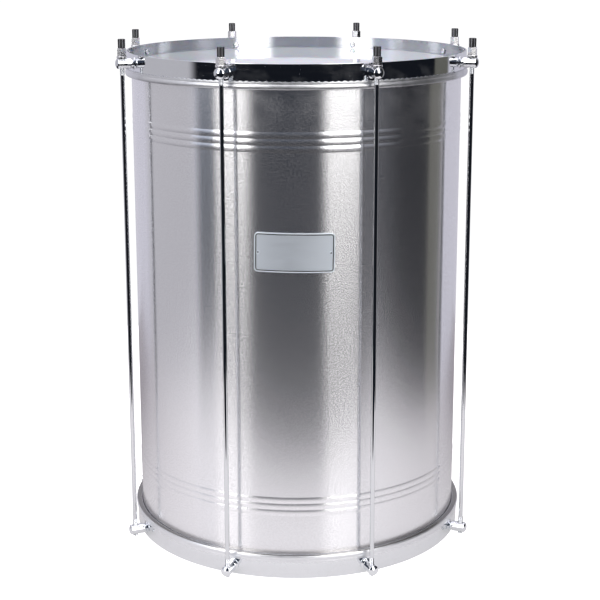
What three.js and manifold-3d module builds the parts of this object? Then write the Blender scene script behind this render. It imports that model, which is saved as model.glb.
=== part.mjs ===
// Surdo: a tall aluminium drum with a plain film head at each end, tuned by eight long rods.
// Millimetres, +Z up. The drum stands on its lower hoop, its axis is Z and its front is -Y.

import * as THREE from "three";
import { mergeVertices } from "three/addons/utils/BufferGeometryUtils.js";
import Module from "manifold-3d";

const wasm = await Module();
wasm.setup();
const { Manifold, Mesh: SolidMesh } = wasm;

// Counts
const stationCount = 8; // tension rods round the drum
const beadCount = 3; // rolled beads near each end of the shell
const stepsPerStation = 5; // facets of the shell, hoops and heads from rod to rod; odd, so a flat faces each
const turnedSteps = 10; // facets round posts and washers
const smallSteps = 8; // facets round rods, screws and pins
const hexSides = 6;
const leftSide = -1;
const rightSide = 1;
const fluteCount = 8; // flutes round a rod cap
const beadSteps = 3; // facets across one bead outside
const beadBackSteps = 2; // facets across its hollow inside
const cornerSteps = 2; // facets round a corner of the name plate

// Clearances
const seatGap = 0.3; // between pieces that touch
const cutOverrun = 2; // how far a cut runs past the solid
const mergeDistance = 1e-4; // corners nearer than this are one corner

// Shell: a rolled aluminium tube
const shellRadius = 201;
const shellWall = 1.2;
const shellHeight = 571;
const bearingRound = 0.4; // on the edge that the film goes over
const beadPitch = 7.7; // one bead beside the next
const beadRise = 0.7;
const beadInset = 71.7; // bearing edge to the middle of a set of beads

// Heads: a film that goes over the bearing edge and down into the flesh hoop
const filmThickness = 0.25;
const filmShoulder = 1.6; // radius of its bend at the bearing edge

// Hoops: flat steel bands bent to a ring
const bandRunning = 1.85; // clearance to the film
const bandThickness = 2;
const bandHeight = 20;
const bandRound = 0.5; // on the free edge

// Flesh hoops: aluminium channels that grip the film
const fleshRunning = 0.8; // clearance to the shell, which it slides along
const fleshHeight = 8;
const fleshWall = 1;
const fleshShow = 1.6; // how far it stands out past the band
const fleshRound = 1.4; // on its lip's outer corner

// Tension rods: wire with a rolled thread at each end
const rodStand = 13.8; // middle of a rod to the face of the band
const rodRadius = 2.65;
const threadRise = 0.35; // a rolled thread is wider than its wire
const upperThreadShow = 7; // thread seen below an upper post
const lowerThreadShow = 8; // thread seen above a lower post
const rodTipShare = 0.555; // of the height below a lower post

// Posts: turned pins that carry the rods on the hoops
const barrelRadius = 6.2;
const barrelFront = 6; // rod to where the barrel's end starts to round
const postTip = 8; // rod to the tip
const tipFlatRadius = 3.4; // flat in the middle of the rounded end
const neckRadius = 4.7;
const neckFlare = 2.4; // length over which the neck widens to the foot
const footRadius = 7.4;
const footThickness = 1.1;
const shoulderLength = 0.24; // over which the neck widens to the barrel
const rodHoleSink = 1.2; // countersink on the side of the shell

// Screws that hold the posts to the hoops
const screwRadius = 2;
const screwHeadRadius = 3.6;
const screwHeadHeight = 1.9;
const screwHeadCrown = 0.8; // rounded part of the head's height
const screwGrip = 6; // length inside the post
const screwToFilm = 0.9; // clearance of its head to the film

// Tension nuts, with their washers
const nutFlats = 10; // across flats
const nutHeight = 9.3;
const nutChamfer = 0.8;
const washerShow = 1.2; // past the nut's flats
const washerThickness = 2.2;
const nutTurns = [20, 5, -12, 26, -20, -25, 22, 4].map(THREE.MathUtils.degToRad); // how each was left

// Rod caps: fluted plastic
const capWall = 1.45; // from the thread to the outside, at its foot
const capFlare = 0.1; // how much wider its top is, in radius
const capHeight = 10.4;
const fluteDepth = 0.6;
const capTopThickness = 2.4;

// Name plate and its pins
const plateWidth = 90.5; // across its ends
const plateHeight = 45.3;
const plateThickness = 0.9;
const plateCorner = 4.5;
const plateRim = 1.7; // width of the raised rim
const plateRecess = 0.3; // depth of the field inside the rim
const plateDrop = 195.9; // upper bearing edge to the middle of the plate
const plateTurn = THREE.MathUtils.degToRad(-1.5); // off the middle between two rods
const plateTilt = THREE.MathUtils.degToRad(-0.8); // its right end is a little low
const pinInset = 4.3; // from the end of the plate
const pinRadius = 0.8;
const pinHeadRadius = 1.5;
const pinHeadHeight = 0.8;
const pinGrip = 3; // length behind the head

// Worked out from the sizes above
const stationPitch = (2 * Math.PI) / stationCount;
const ringSteps = stepsPerStation * stationCount;
const fleshBore = shellRadius + fleshRunning;
const skirtBore = fleshBore + fleshWall + seatGap;
const skirtRadius = skirtBore + filmThickness;
const fleshLip = skirtRadius + seatGap;
const bandBore = skirtRadius + bandRunning;
const bandRadius = bandBore + bandThickness;
const fleshRadius = bandRadius + fleshShow;
const rodCircle = bandRadius + rodStand;
const bandFace = bandRadius * Math.cos(Math.PI / ringSteps); // where the posts stand
const bandBack = bandBore * Math.cos(Math.PI / ringSteps); // where the screw heads seat
const lowerPostLevel = bandHeight / 2;
const headLevel = lowerPostLevel + screwHeadRadius + screwToFilm;
const shellFoot = headLevel + filmThickness + seatGap;
const shellTop = shellFoot + shellHeight;
const drumHeight = shellTop + shellFoot;
const fleshFoot = bandHeight + seatGap;
const fleshTop = fleshFoot + fleshHeight;
const upperPostLevel = drumHeight - lowerPostLevel;
const barrelFlat = barrelRadius * Math.cos(Math.PI / turnedSteps);
const threadRadius = rodRadius + threadRise;
const rodHoleRadius = threadRadius + seatGap;
const capRadius = threadRadius + capWall;
const washerFoot = upperPostLevel + barrelFlat + seatGap;
const nutTop = washerFoot + washerThickness + nutHeight;
const capFoot = nutTop + seatGap;
const plateBore = shellRadius + seatGap;
const plateLevel = shellTop - plateDrop;

const materials = {
  aluminium: new THREE.MeshStandardMaterial({ color: 0xc4c5c8, metalness: 1, roughness: 0.35 }),
  chrome: new THREE.MeshStandardMaterial({ color: 0xe2e4e6, metalness: 1, roughness: 0.08 }),
  zinc: new THREE.MeshStandardMaterial({ color: 0xcfd1d4, metalness: 1, roughness: 0.25 }),
  film: new THREE.MeshStandardMaterial({ color: 0xeeeef3, metalness: 0, roughness: 0.3 }),
  plastic: new THREE.MeshStandardMaterial({ color: 0x1c1c1f, metalness: 0, roughness: 0.45 }),
};

// A closed geometry as a solid that can be cut and joined
function toSolid(geometry) {
  const bare = new THREE.BufferGeometry();
  bare.setAttribute("position", geometry.getAttribute("position"));
  bare.setIndex(geometry.getIndex());
  const merged = mergeVertices(bare, mergeDistance);
  const index = merged.getIndex().array;
  const corners = [];
  for (let i = 0; i < index.length; i += 3) {
    const [a, b, c] = index.slice(i, i + 3);
    if (a !== b && b !== c && c !== a) corners.push(a, b, c);
  }
  const places = merged.getAttribute("position").array;
  if (signedVolume(places, corners) < 0) corners.reverse();
  return new Manifold(
    new SolidMesh({
      numProp: 3,
      vertProperties: new Float32Array(places),
      triVerts: new Uint32Array(corners),
    }),
  );
}

function signedVolume(places, corners) {
  const [a, b, c] = [new THREE.Vector3(), new THREE.Vector3(), new THREE.Vector3()];
  let sum = 0;
  for (let i = 0; i < corners.length; i += 3) {
    a.fromArray(places, 3 * corners[i]);
    b.fromArray(places, 3 * corners[i + 1]);
    c.fromArray(places, 3 * corners[i + 2]);
    sum += a.dot(b.cross(c)) / 6;
  }
  return sum;
}

function toGeometry(solid) {
  const mesh = solid.getMesh();
  const geometry = new THREE.BufferGeometry();
  geometry.setAttribute("position", new THREE.BufferAttribute(mesh.vertProperties, mesh.numProp));
  geometry.setIndex(new THREE.BufferAttribute(mesh.triVerts, 1));
  geometry.computeVertexNormals();
  return geometry;
}

function moved(solid, matrix) {
  return solid.transform(matrix.elements);
}

function shifted(solid, x, y, z) {
  return moved(solid, new THREE.Matrix4().makeTranslation(x, y, z));
}

function turnedBy(solid, angle) {
  return moved(solid, new THREE.Matrix4().makeRotationZ(angle));
}

// Revolves [radius, height] points about Z. A half step puts a flat, not an edge, to each side.
function revolve(points, steps, halfStep = false) {
  const profile = points.map(([radius, height]) => new THREE.Vector2(radius, height));
  const start = halfStep ? Math.PI / steps : 0;
  const geometry = new THREE.LatheGeometry(profile, steps, start);
  geometry.rotateX(Math.PI / 2);
  return toSolid(geometry);
}

// Revolves a ring, whose profile closes on itself
function revolveRing(points) {
  return revolve([...points, points[0]], ringSteps);
}

// A pin along Z whose flats are its radius away, so that it clears a round shaft inside it
function holeCutter(radius, from, to, steps) {
  const reach = radius / Math.cos(Math.PI / steps);
  const profile = [
    [0, from],
    [reach, from],
    [reach, to],
    [0, to],
  ];
  return revolve(profile, steps, true);
}

// Lays a piece made along Z out along the radius at the station's rod, foot at the given radius
function laidOut(solid, radius, level) {
  const matrix = new THREE.Matrix4().makeRotationY(Math.PI / 2).setPosition(radius, 0, level);
  return moved(solid, matrix);
}

function mirrored(points) {
  return points.map(([radius, height]) => [radius, drumHeight - height]);
}

// Outline of a set of beads on one face of the shell, from below up
function beadOutline(faceRadius, middle, steps) {
  const foot = middle - (beadCount * beadPitch) / 2;
  const points = [];
  for (let i = 0; i <= beadCount * steps; i++) {
    const rise = beadRise * Math.sin((Math.PI * (i % steps)) / steps);
    points.push([faceRadius + rise, foot + (i * beadPitch) / steps]);
  }
  return points;
}

function shellSolid() {
  const bore = shellRadius - shellWall;
  const lowBeads = shellFoot + beadInset;
  const highBeads = shellTop - beadInset;
  const outside = [
    [shellRadius - bearingRound, shellFoot],
    [shellRadius, shellFoot + bearingRound],
    ...beadOutline(shellRadius, lowBeads, beadSteps),
    ...beadOutline(shellRadius, highBeads, beadSteps),
    [shellRadius, shellTop - bearingRound],
    [shellRadius - bearingRound, shellTop],
  ];
  const inside = [
    [bore, shellTop],
    ...beadOutline(bore, highBeads, beadBackSteps).reverse(),
    ...beadOutline(bore, lowBeads, beadBackSteps).reverse(),
    [bore, shellFoot],
  ];
  return revolveRing([...outside, ...inside]);
}

// Lower hoop band, its free edge down
function bandOutline() {
  return [
    [bandBore + bandRound, 0],
    [bandRadius - bandRound, 0],
    [bandRadius, bandRound],
    [bandRadius, bandHeight],
    [bandBore, bandHeight],
    [bandBore, bandRound],
  ];
}

// Lower flesh hoop: a channel with its lip turned in over the film, its slot beside the bore
function fleshOutline() {
  return [
    [fleshBore, fleshFoot],
    [fleshBore + fleshWall, fleshFoot],
    [fleshBore + fleshWall, fleshTop - fleshWall],
    [fleshRadius - fleshWall, fleshTop - fleshWall],
    [fleshRadius - fleshWall, fleshFoot + fleshWall],
    [fleshLip, fleshFoot + fleshWall],
    [fleshLip, fleshFoot],
    [fleshRadius - fleshRound, fleshFoot],
    [fleshRadius, fleshFoot + fleshRound],
    [fleshRadius, fleshTop],
    [fleshBore, fleshTop],
  ];
}

// Lower film: a disc, a bend round the bearing edge and a skirt up into the flesh hoop
function filmOutline() {
  const bendCentre = skirtRadius - filmShoulder;
  const bendLevel = headLevel + filmShoulder;
  const skirtEnd = fleshTop - fleshWall - seatGap;
  const innerBend = filmShoulder - filmThickness;
  const diagonal = Math.SQRT1_2;
  return [
    [0, headLevel],
    [bendCentre, headLevel],
    [bendCentre + filmShoulder * diagonal, bendLevel - filmShoulder * diagonal],
    [skirtRadius, bendLevel],
    [skirtRadius, skirtEnd],
    [skirtBore, skirtEnd],
    [skirtBore, bendLevel],
    [bendCentre + innerBend * diagonal, bendLevel - innerBend * diagonal],
    [bendCentre, headLevel + filmThickness],
    [0, headLevel + filmThickness],
  ];
}

// A band with a hole for each post's screw
function drilledBand(outline, level) {
  const cutter = holeCutter(screwRadius + seatGap, -cutOverrun, bandThickness + cutOverrun, smallSteps);
  const hole = laidOut(cutter, bandBore, level);
  let band = revolveRing(outline);
  for (let i = 0; i < stationCount; i++) {
    band = band.subtract(turnedBy(hole, stationAngle(i)));
  }
  return band;
}

function stationAngle(i) {
  return (i + 1 / 2) * stationPitch;
}

// The post's turned form along Z, from its foot at zero
function postForm() {
  const toRod = rodCircle - bandFace - seatGap;
  const neckEnd = footThickness + neckFlare;
  const profile = [
    [0, 0],
    [footRadius, 0],
    [footRadius, footThickness],
    [neckRadius, neckEnd],
    [barrelRadius, neckEnd + shoulderLength],
    [barrelRadius, toRod + barrelFront],
    [tipFlatRadius, toRod + postTip],
    [0, toRod + postTip],
  ];
  return revolve(profile, turnedSteps, true);
}

// Cuts a lower post's hole for its rod, countersunk on top
function rodHoleCutter() {
  const reach = rodHoleRadius / Math.cos(Math.PI / smallSteps);
  const mouth = reach + rodHoleSink + cutOverrun;
  const profile = [
    [0, -barrelFlat - cutOverrun],
    [reach, -barrelFlat - cutOverrun],
    [reach, barrelFlat - rodHoleSink],
    [mouth, barrelFlat + cutOverrun],
    [0, barrelFlat + cutOverrun],
  ];
  return shifted(revolve(profile, smallSteps, true), rodCircle, 0, 0);
}

// A post with its rod's hole; an upper one is a lower one upside down
function postSolid(level, turn) {
  const post = laidOut(postForm(), bandFace + seatGap, 0).subtract(rodHoleCutter());
  return moved(post, new THREE.Matrix4().makeRotationX(turn).setPosition(0, 0, level));
}

// The screw through the hoop into the post, its head inside the band
function screwSolid(level) {
  const seat = bandBack - seatGap;
  const shankEnd = bandFace + seatGap + screwGrip - seat;
  const profile = [
    [0, -screwHeadHeight],
    [screwHeadRadius - screwHeadCrown, -screwHeadHeight],
    [screwHeadRadius, -screwHeadHeight + screwHeadCrown],
    [screwHeadRadius, 0],
    [screwRadius, 0],
    [screwRadius, shankEnd],
    [0, shankEnd],
  ];
  return laidOut(revolve(profile, smallSteps, true), seat, level);
}

function upperPostSolid() {
  const depth = screwGrip + seatGap;
  const cutter = holeCutter(screwRadius + seatGap, -cutOverrun, depth, smallSteps);
  const tapping = laidOut(cutter, bandFace + seatGap, upperPostLevel);
  return postSolid(upperPostLevel, Math.PI).subtract(tapping);
}

// A lower post and its screw, drawn tight and handled as one piece
function lowerPostSolid() {
  return postSolid(lowerPostLevel, 0).add(screwSolid(lowerPostLevel));
}

function rodSolid() {
  const tip = (lowerPostLevel - barrelFlat) * (1 - rodTipShare);
  const lowThreadEnd = lowerPostLevel + barrelFlat + lowerThreadShow;
  const highThreadEnd = upperPostLevel - barrelFlat - upperThreadShow;
  const end = capFoot + capHeight - capTopThickness - seatGap;
  const profile = [
    [0, tip],
    [threadRadius, tip],
    [threadRadius, lowThreadEnd],
    [rodRadius, lowThreadEnd + threadRise],
    [rodRadius, highThreadEnd - threadRise],
    [threadRadius, highThreadEnd],
    [threadRadius, end],
    [0, end],
  ];
  return shifted(revolve(profile, smallSteps, true), rodCircle, 0, 0);
}

// A long hexagon nut, chamfered on top, with its washer below
function nutSolid(turn) {
  const cornerRadius = nutFlats / 2 / Math.cos(Math.PI / hexSides);
  const washerTop = washerFoot + washerThickness;
  const washerRadius = nutFlats / 2 + washerShow;
  const hexProfile = [
    [0, washerFoot],
    [cornerRadius, washerFoot],
    [cornerRadius, nutTop - nutChamfer],
    [cornerRadius - nutChamfer, nutTop],
    [0, nutTop],
  ];
  const washerProfile = [
    [0, washerFoot],
    [washerRadius, washerFoot],
    [washerRadius, washerTop],
    [0, washerTop],
  ];
  const bore = holeCutter(rodHoleRadius, washerFoot - cutOverrun, nutTop + cutOverrun, smallSteps);
  const nut = revolve(hexProfile, hexSides).add(revolve(washerProfile, turnedSteps));
  return shifted(turnedBy(nut.subtract(bore), turn), rodCircle, 0, 0);
}

// A star-shaped section, a little wider at the top, with a blind bore for the rod's end
function capSolid() {
  const outline = new THREE.Shape();
  for (let i = 0; i < 2 * fluteCount; i++) {
    const radius = i % 2 ? capRadius - fluteDepth : capRadius;
    const angle = (i * Math.PI) / fluteCount;
    outline[i ? "lineTo" : "moveTo"](radius * Math.cos(angle), radius * Math.sin(angle));
  }
  outline.closePath();
  const geometry = new THREE.ExtrudeGeometry(outline, { depth: capHeight, bevelEnabled: false });
  const places = geometry.getAttribute("position");
  for (let i = 0; i < places.count; i++) {
    const flare = THREE.MathUtils.lerp(1, 1 + capFlare / capRadius, places.getZ(i) / capHeight);
    places.setXY(i, places.getX(i) * flare, places.getY(i) * flare);
  }
  const bore = holeCutter(threadRadius, -cutOverrun, capHeight - capTopThickness, smallSteps);
  return shifted(toSolid(geometry).subtract(bore), rodCircle, 0, capFoot);
}

// An upright block with the plate's outline, through the shell at the front
function plateBlock(margin) {
  const halfWidth = plateWidth / 2 - margin;
  const halfHeight = plateHeight / 2 - margin;
  const corner = plateCorner - margin;
  const outline = new THREE.Shape();
  const quarter = Math.PI / 2;
  const centres = [
    [halfWidth - corner, halfHeight - corner],
    [corner - halfWidth, halfHeight - corner],
    [corner - halfWidth, corner - halfHeight],
    [halfWidth - corner, corner - halfHeight],
  ];
  centres.forEach(([x, y], i) => {
    outline.absarc(x, y, corner, i * quarter, (i + 1) * quarter, false);
  });
  const depth = 2 * plateThickness + shellRadius / 2;
  const options = { depth, bevelEnabled: false, curveSegments: cornerSteps };
  const geometry = new THREE.ExtrudeGeometry(outline, options);
  geometry.rotateZ(plateTilt);
  geometry.rotateX(Math.PI / 2);
  geometry.translate(0, -shellRadius / 2, plateLevel);
  return turnedBy(toSolid(geometry), plateTurn);
}

// A ring of sheet in the facets of the shell
function sheetRing(inner, outer) {
  const low = plateLevel - plateHeight;
  const high = plateLevel + plateHeight;
  const profile = [
    [inner, low],
    [outer, low],
    [outer, high],
    [inner, high],
  ];
  return revolveRing(profile);
}

// Lays a piece made along Z out along the radius where a pin goes, on the left or the right
function laidAtPin(solid, radius, side) {
  const reach = side * (plateWidth / 2 - pinInset);
  const turn = plateTurn + Math.asin((reach * Math.cos(plateTilt)) / (plateBore + plateThickness));
  const level = plateLevel + reach * Math.sin(plateTilt);
  return turnedBy(laidOut(solid, radius, level), turn - Math.PI / 2);
}

function pinHoles() {
  const cutter = holeCutter(pinRadius + seatGap, -pinGrip - cutOverrun, cutOverrun, smallSteps);
  const seat = plateBore + plateThickness;
  return laidAtPin(cutter, seat, leftSide).add(laidAtPin(cutter, seat, rightSide));
}

function plateSolid() {
  const outer = plateBore + plateThickness;
  const field = sheetRing(outer - plateRecess, outer + plateThickness).intersect(plateBlock(plateRim));
  const blank = sheetRing(plateBore, outer).intersect(plateBlock(0));
  return blank.subtract(field).subtract(pinHoles());
}

function pinSolid(side) {
  const seat = plateBore + plateThickness - plateRecess + seatGap;
  const profile = [
    [0, -pinGrip],
    [pinRadius, -pinGrip],
    [pinRadius, 0],
    [pinHeadRadius, 0],
    [pinHeadRadius, pinHeadHeight / 2],
    [pinHeadRadius / 2, pinHeadHeight],
    [0, pinHeadHeight],
  ];
  return laidAtPin(revolve(profile, smallSteps, true), seat, side);
}

const drum = new THREE.Group();

function addPiece(parent, name, solid, material) {
  const mesh = new THREE.Mesh(toGeometry(solid), material);
  mesh.name = name;
  parent.add(mesh);
}

function addShell() {
  addPiece(drum, "shell", shellSolid().subtract(pinHoles()), materials.aluminium);
  addPiece(drum, "name_plate", plateSolid(), materials.aluminium);
  addPiece(drum, "name_plate_pin_left", pinSolid(leftSide), materials.zinc);
  addPiece(drum, "name_plate_pin_right", pinSolid(rightSide), materials.zinc);
}

function addEnds() {
  addPiece(drum, "resonant_head", revolve(filmOutline(), ringSteps), materials.film);
  addPiece(drum, "batter_head", revolve(mirrored(filmOutline()), ringSteps), materials.film);
  addPiece(drum, "lower_flesh_hoop", revolveRing(fleshOutline()), materials.aluminium);
  addPiece(drum, "upper_flesh_hoop", revolveRing(mirrored(fleshOutline())), materials.aluminium);
  const lowerBand = drilledBand(bandOutline(), lowerPostLevel);
  const upperBand = drilledBand(mirrored(bandOutline()), upperPostLevel);
  addPiece(drum, "lower_hoop", lowerBand, materials.chrome);
  addPiece(drum, "upper_hoop", upperBand, materials.chrome);
}

function addStations() {
  const pieces = [
    ["tension_rod", rodSolid(), materials.zinc],
    ["lower_post", lowerPostSolid(), materials.chrome],
    ["upper_post", upperPostSolid(), materials.chrome],
    ["hoop_screw", screwSolid(upperPostLevel), materials.zinc],
    ["rod_cap", capSolid(), materials.plastic],
  ];
  for (let i = 0; i < stationCount; i++) {
    const station = new THREE.Group();
    station.rotation.z = stationAngle(i);
    drum.add(station);
    for (const [name, solid, material] of pieces) {
      addPiece(station, `${name}_${i + 1}`, solid, material);
    }
    addPiece(station, `tension_nut_${i + 1}`, nutSolid(nutTurns[i]), materials.zinc);
  }
}

addShell();
addEnds();
addStations();

export default drum;
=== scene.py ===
"""Surdo: a tall drum with a brushed aluminium shell, a film head at each end and eight long tension rods.

Metres, +Z up. The drum stands on its lower hoop with its name plate towards -Y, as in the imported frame.
"""

import math

import bpy
import numpy as np
from bpy.props import FloatProperty, FloatVectorProperty, IntProperty, PointerProperty
from mathutils import Matrix, Vector


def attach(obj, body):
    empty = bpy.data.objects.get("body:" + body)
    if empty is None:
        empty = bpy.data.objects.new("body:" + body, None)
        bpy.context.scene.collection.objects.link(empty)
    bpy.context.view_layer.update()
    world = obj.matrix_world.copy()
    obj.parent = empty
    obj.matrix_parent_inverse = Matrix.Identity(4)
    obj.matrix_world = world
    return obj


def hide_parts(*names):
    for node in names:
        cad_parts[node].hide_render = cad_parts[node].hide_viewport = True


bl_info = {
    "name": "Surdo",
    "version": (1, 0, 0),
    "blender": (4, 5, 0),
    "location": "3D View > Sidebar > Surdo",
    "description": "Builds a surdo piece by piece, each with its own finish",
    "category": "Add Mesh",
}

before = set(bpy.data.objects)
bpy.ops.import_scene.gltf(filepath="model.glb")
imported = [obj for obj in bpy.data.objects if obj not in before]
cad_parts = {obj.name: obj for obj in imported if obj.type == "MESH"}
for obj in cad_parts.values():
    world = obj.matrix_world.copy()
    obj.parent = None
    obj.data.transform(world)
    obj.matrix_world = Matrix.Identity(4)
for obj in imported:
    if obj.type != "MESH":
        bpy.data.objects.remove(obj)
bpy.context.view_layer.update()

STATIONS = 8
FULL_TURN = 2 * math.pi
HALF_TURN = math.pi
QUARTER_TURN = math.pi / 2
FRONT = -QUARTER_TURN  # the angle of the drum's front about Z
MM = 0.001
SEAT = 0.3 * MM  # left between pieces that touch
FLUTE_STEPS = 10  # faces round a cap for each of its flutes
RIM_ROWS, BORDER_ROWS = (1, 5), (5, 8)  # where the name plate's rim and its border line begin and end
METAL = {"Metallic": 1}
NUT_TURNS = (20, 5, -12, 26, -20, -25, 22, 4)  # how each nut stopped on its rod, in degrees


def mm(*lengths):
    """Lengths in millimetres as metres."""
    metres = [length * MM for length in lengths]
    return metres[0] if len(metres) == 1 else metres


def linear(hex_colour):
    """An sRGB hex colour as linear red, green and blue."""
    levels = [int(hex_colour[i : i + 2], 16) / 255 for i in (1, 3, 5)]
    return tuple(c / 12.92 if c <= 0.04045 else ((c + 0.055) / 1.055) ** 2.4 for c in levels)


# Sizes and colours


def length(name, description, millimetres):
    """A length property, given in millimetres and kept in metres."""
    return FloatProperty(
        name=name, description=description, default=mm(millimetres), min=0, unit="LENGTH", precision=5
    )


def tint(name, description, hex_colour):
    """A colour property, given as sRGB hex and kept linear."""
    return FloatVectorProperty(
        name=name, description=description, default=linear(hex_colour), subtype="COLOR", min=0, max=1
    )


def slant(name, description, degrees):
    """An angle property, given in degrees and kept in radians."""
    default = math.radians(degrees)
    return FloatProperty(name=name, description=description, default=default, subtype="ANGLE")


def factor(name, description, default):
    """A plain number that a user may change."""
    return FloatProperty(name=name, description=description, default=default)


class SurdoShellSizes(bpy.types.PropertyGroup):
    radius: length("Radius", "Outside of the plain shell", 201)
    wall: length("Wall", "Thickness of the sheet", 1.2)
    foot: length("Foot", "Height of the lower bearing edge above the floor", 15.05)
    height: length("Height", "Bearing edge to bearing edge", 571)
    edge_round: length("Edge rounding", "Rounding of the bearing edges", 0.4)
    bead_pitch: length("Bead pitch", "One bead to the next", 7.7)
    bead_rise: length("Bead rise", "How far a bead stands out", 0.4)
    bead_inset: length("Bead inset", "Bearing edge to the middle of three beads", 71.7)


class SurdoHeadSizes(bpy.types.PropertyGroup):
    level: length("Level", "Lower film's outer face above the floor", 14.5)
    thickness: length("Thickness", "Thickness of the film", 0.25)
    skirt_radius: length("Skirt radius", "Outside of the film's skirt", 203.35)
    shoulder: length("Shoulder", "Bend of the film at the bearing edge", 4.2)
    skirt_end: length("Skirt end", "Height of the skirt's end above the floor", 27)


class SurdoHoopSizes(bpy.types.PropertyGroup):
    radius: length("Radius", "Outside of the flat bands", 207.2)
    thickness: length("Thickness", "Thickness of a band", 2)
    height: length("Height", "Height of a band", 20)
    edge_round: length("Edge rounding", "Rounding of the free edge", 0.5)
    flesh_radius: length("Flesh hoop radius", "Outside of the flesh hoops", 208.8)
    flesh_bore: length("Flesh hoop bore", "Inside of the flesh hoops", 201.8)
    flesh_lip: length("Flesh hoop lip", "Radius of the lip's edge beside the film", 203.65)
    flesh_height: length("Flesh hoop height", "Height of a flesh hoop", 8)
    flesh_wall: length("Flesh hoop wall", "Thickness of its sheet", 1)
    crimp_rise: length("Crimp rise", "How far a crimp stands up from the flesh hoop", 1.4)
    crimps: IntProperty(name="Crimps", description="Crimps round a flesh hoop", default=180, min=8)


class SurdoStationSizes(bpy.types.PropertyGroup):
    circle: length("Rod circle", "Drum's axis to the middle of a rod", 221)
    rod_radius: length("Rod radius", "Plain part of a rod", 2.65)
    thread_radius: length("Thread radius", "Crest of the thread", 3)
    thread_depth: length("Thread depth", "Crest to root", 0.6)
    thread_pitch: length("Thread pitch", "Crest to crest", 1)
    tip: length("Rod tip", "Lower end of a rod above the floor", 1.83)
    low_thread_end: length("Lower thread's end", "Where the lower thread stops", 23.9)
    high_thread_start: length("Upper thread's start", "Where the upper thread begins", 578.2)
    rod_end: length("Rod end", "Upper end of a rod above the floor", 616.75)
    post_level: length("Post level", "Middle of a lower post above the floor", 10)
    barrel_radius: length("Barrel radius", "Outside of a post's barrel", 6.2)
    post_tip: length("Post tip", "Rod to the tip of a post", 8)
    neck_radius: length("Neck radius", "Narrowest part of a post", 4.7)
    foot_radius: length("Foot radius", "Foot of a post against its hoop", 7.4)
    foot_thickness: length("Foot thickness", "Edge of the foot", 1.1)
    neck_flare: length("Neck flare", "Length over which the neck spreads to the foot", 2.4)
    hole_radius: length("Rod hole radius", "Hole through a post", 3.3)
    screw_radius: length("Screw radius", "Shank of a hoop screw", 2)
    screw_head_radius: length("Screw head radius", "Head of a hoop screw", 3.6)
    screw_head_height: length("Screw head height", "Height of the head", 1.9)
    screw_grip: length("Screw grip", "Length of the shank inside the post", 6)
    nut_flats: length("Nut across flats", "Width of a tension nut", 10)
    nut_height: length("Nut height", "Height of the hexagon", 9.3)
    washer_radius: length("Washer radius", "Outside of a washer", 6.2)
    washer_thickness: length("Washer thickness", "Thickness of a washer", 2.2)
    washer_foot: length("Washer foot", "Underside of a washer above the floor", 597.3)
    cap_radius: length("Cap radius", "Foot of a rod cap", 4.45)
    cap_height: length("Cap height", "Height of a rod cap", 10.4)
    cap_foot: length("Cap foot", "Foot of a rod cap above the floor", 609.09)
    cap_flare: length("Cap flare", "How much wider its top is, in radius", 0.09)
    flute_depth: length("Flute depth", "Depth of a cap's flutes", 0.6)
    flutes: IntProperty(name="Flutes", description="Flutes round a cap", default=8, min=3)


class SurdoPlateSizes(bpy.types.PropertyGroup):
    width: length("Width", "Width of the name plate", 90.5)
    height: length("Height", "Height of the name plate", 45.3)
    thickness: length("Thickness", "Thickness at the rim", 0.9)
    corner: length("Corner", "Radius of its corners", 4.5)
    rim: length("Rim", "Width of the raised rim", 1.5)
    recess: length("Recess", "Depth of the field inside the rim", 0.3)
    level: length("Level", "Middle of the plate above the floor", 390.15)
    turn: slant("Turn", "Angle from the middle between two rods", -1.5)
    tilt: slant("Tilt", "Lean of the plate, its right end down", -0.8)
    pin_inset: length("Pin inset", "End of the plate to a pin", 4.3)
    pin_radius: length("Pin radius", "Head of a pin", 1.8)
    pin_height: length("Pin height", "Height of the head", 0.8)


class SurdoFinishes(bpy.types.PropertyGroup):
    shell: tint("Shell", "Brushed aluminium sheet", "#f4f4f7")
    flesh_hoop: tint("Flesh hoops", "Rolled aluminium strip", "#e6e7ea")
    # Painted shade: a dark tint for the lower flesh hoop's level top, beside the shell.
    ledge_shade: tint("Ledge shade", "Level top of the lower flesh hoop, darkened as painted shade", "#9a9896")
    chrome: tint("Chrome", "Chrome plate on hoops and posts", "#e9ebee")
    linished: tint("Worked metal", "Inside of the hoops and ledge of the flesh hoops", "#c5c7cb")
    wire: tint("Wire", "Bright zinc on the rods", "#dfe1e4")
    nickel: tint("Nickel", "Satin nickel on nuts, washers and screws", "#e8e8ea")
    film: tint("Film", "Milky polyester film", "#f9f1f5")
    cap: tint("Caps", "Black moulded PVC", "#18181b")
    # Painted highlight: a pale tint for the crests of the caps, where the lamps glint.
    crest_highlight: tint("Crest highlights", "Crests of the caps, painted pale as highlights", "#8a8b90")
    plate: tint("Name plate", "Satin aluminium", "#e3eaf2")
    # Real enamel on the border line, and also the painted shade in the dimples of the plate's pins.
    enamel_and_pin_shade: tint("Border line", "Stoving enamel on the name plate", "#1c1d20")
    table: tint("Table", "Opal acrylic under the drum", "#847f82")


class SurdoStageSettings(bpy.types.PropertyGroup):
    lens: FloatProperty(name="Lens", description="Focal length", default=85.33, min=1, unit="CAMERA")
    strip_strength: factor("Strip lights", "Brightness of the strips", 4.85)
    overhead_strength: factor("Overhead", "Brightness from above", 1.6)
    table_glow: factor("Table glow", "Light through the table", 0.66)
    table_burn: factor("Table burn", "Brightness that the camera sees", 1.2)


# Forms: each is an array of points and a list of faces


def all_round(steps):
    """Angles evenly round a circle."""
    return np.linspace(0, FULL_TURN, steps, endpoint=False)


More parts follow.
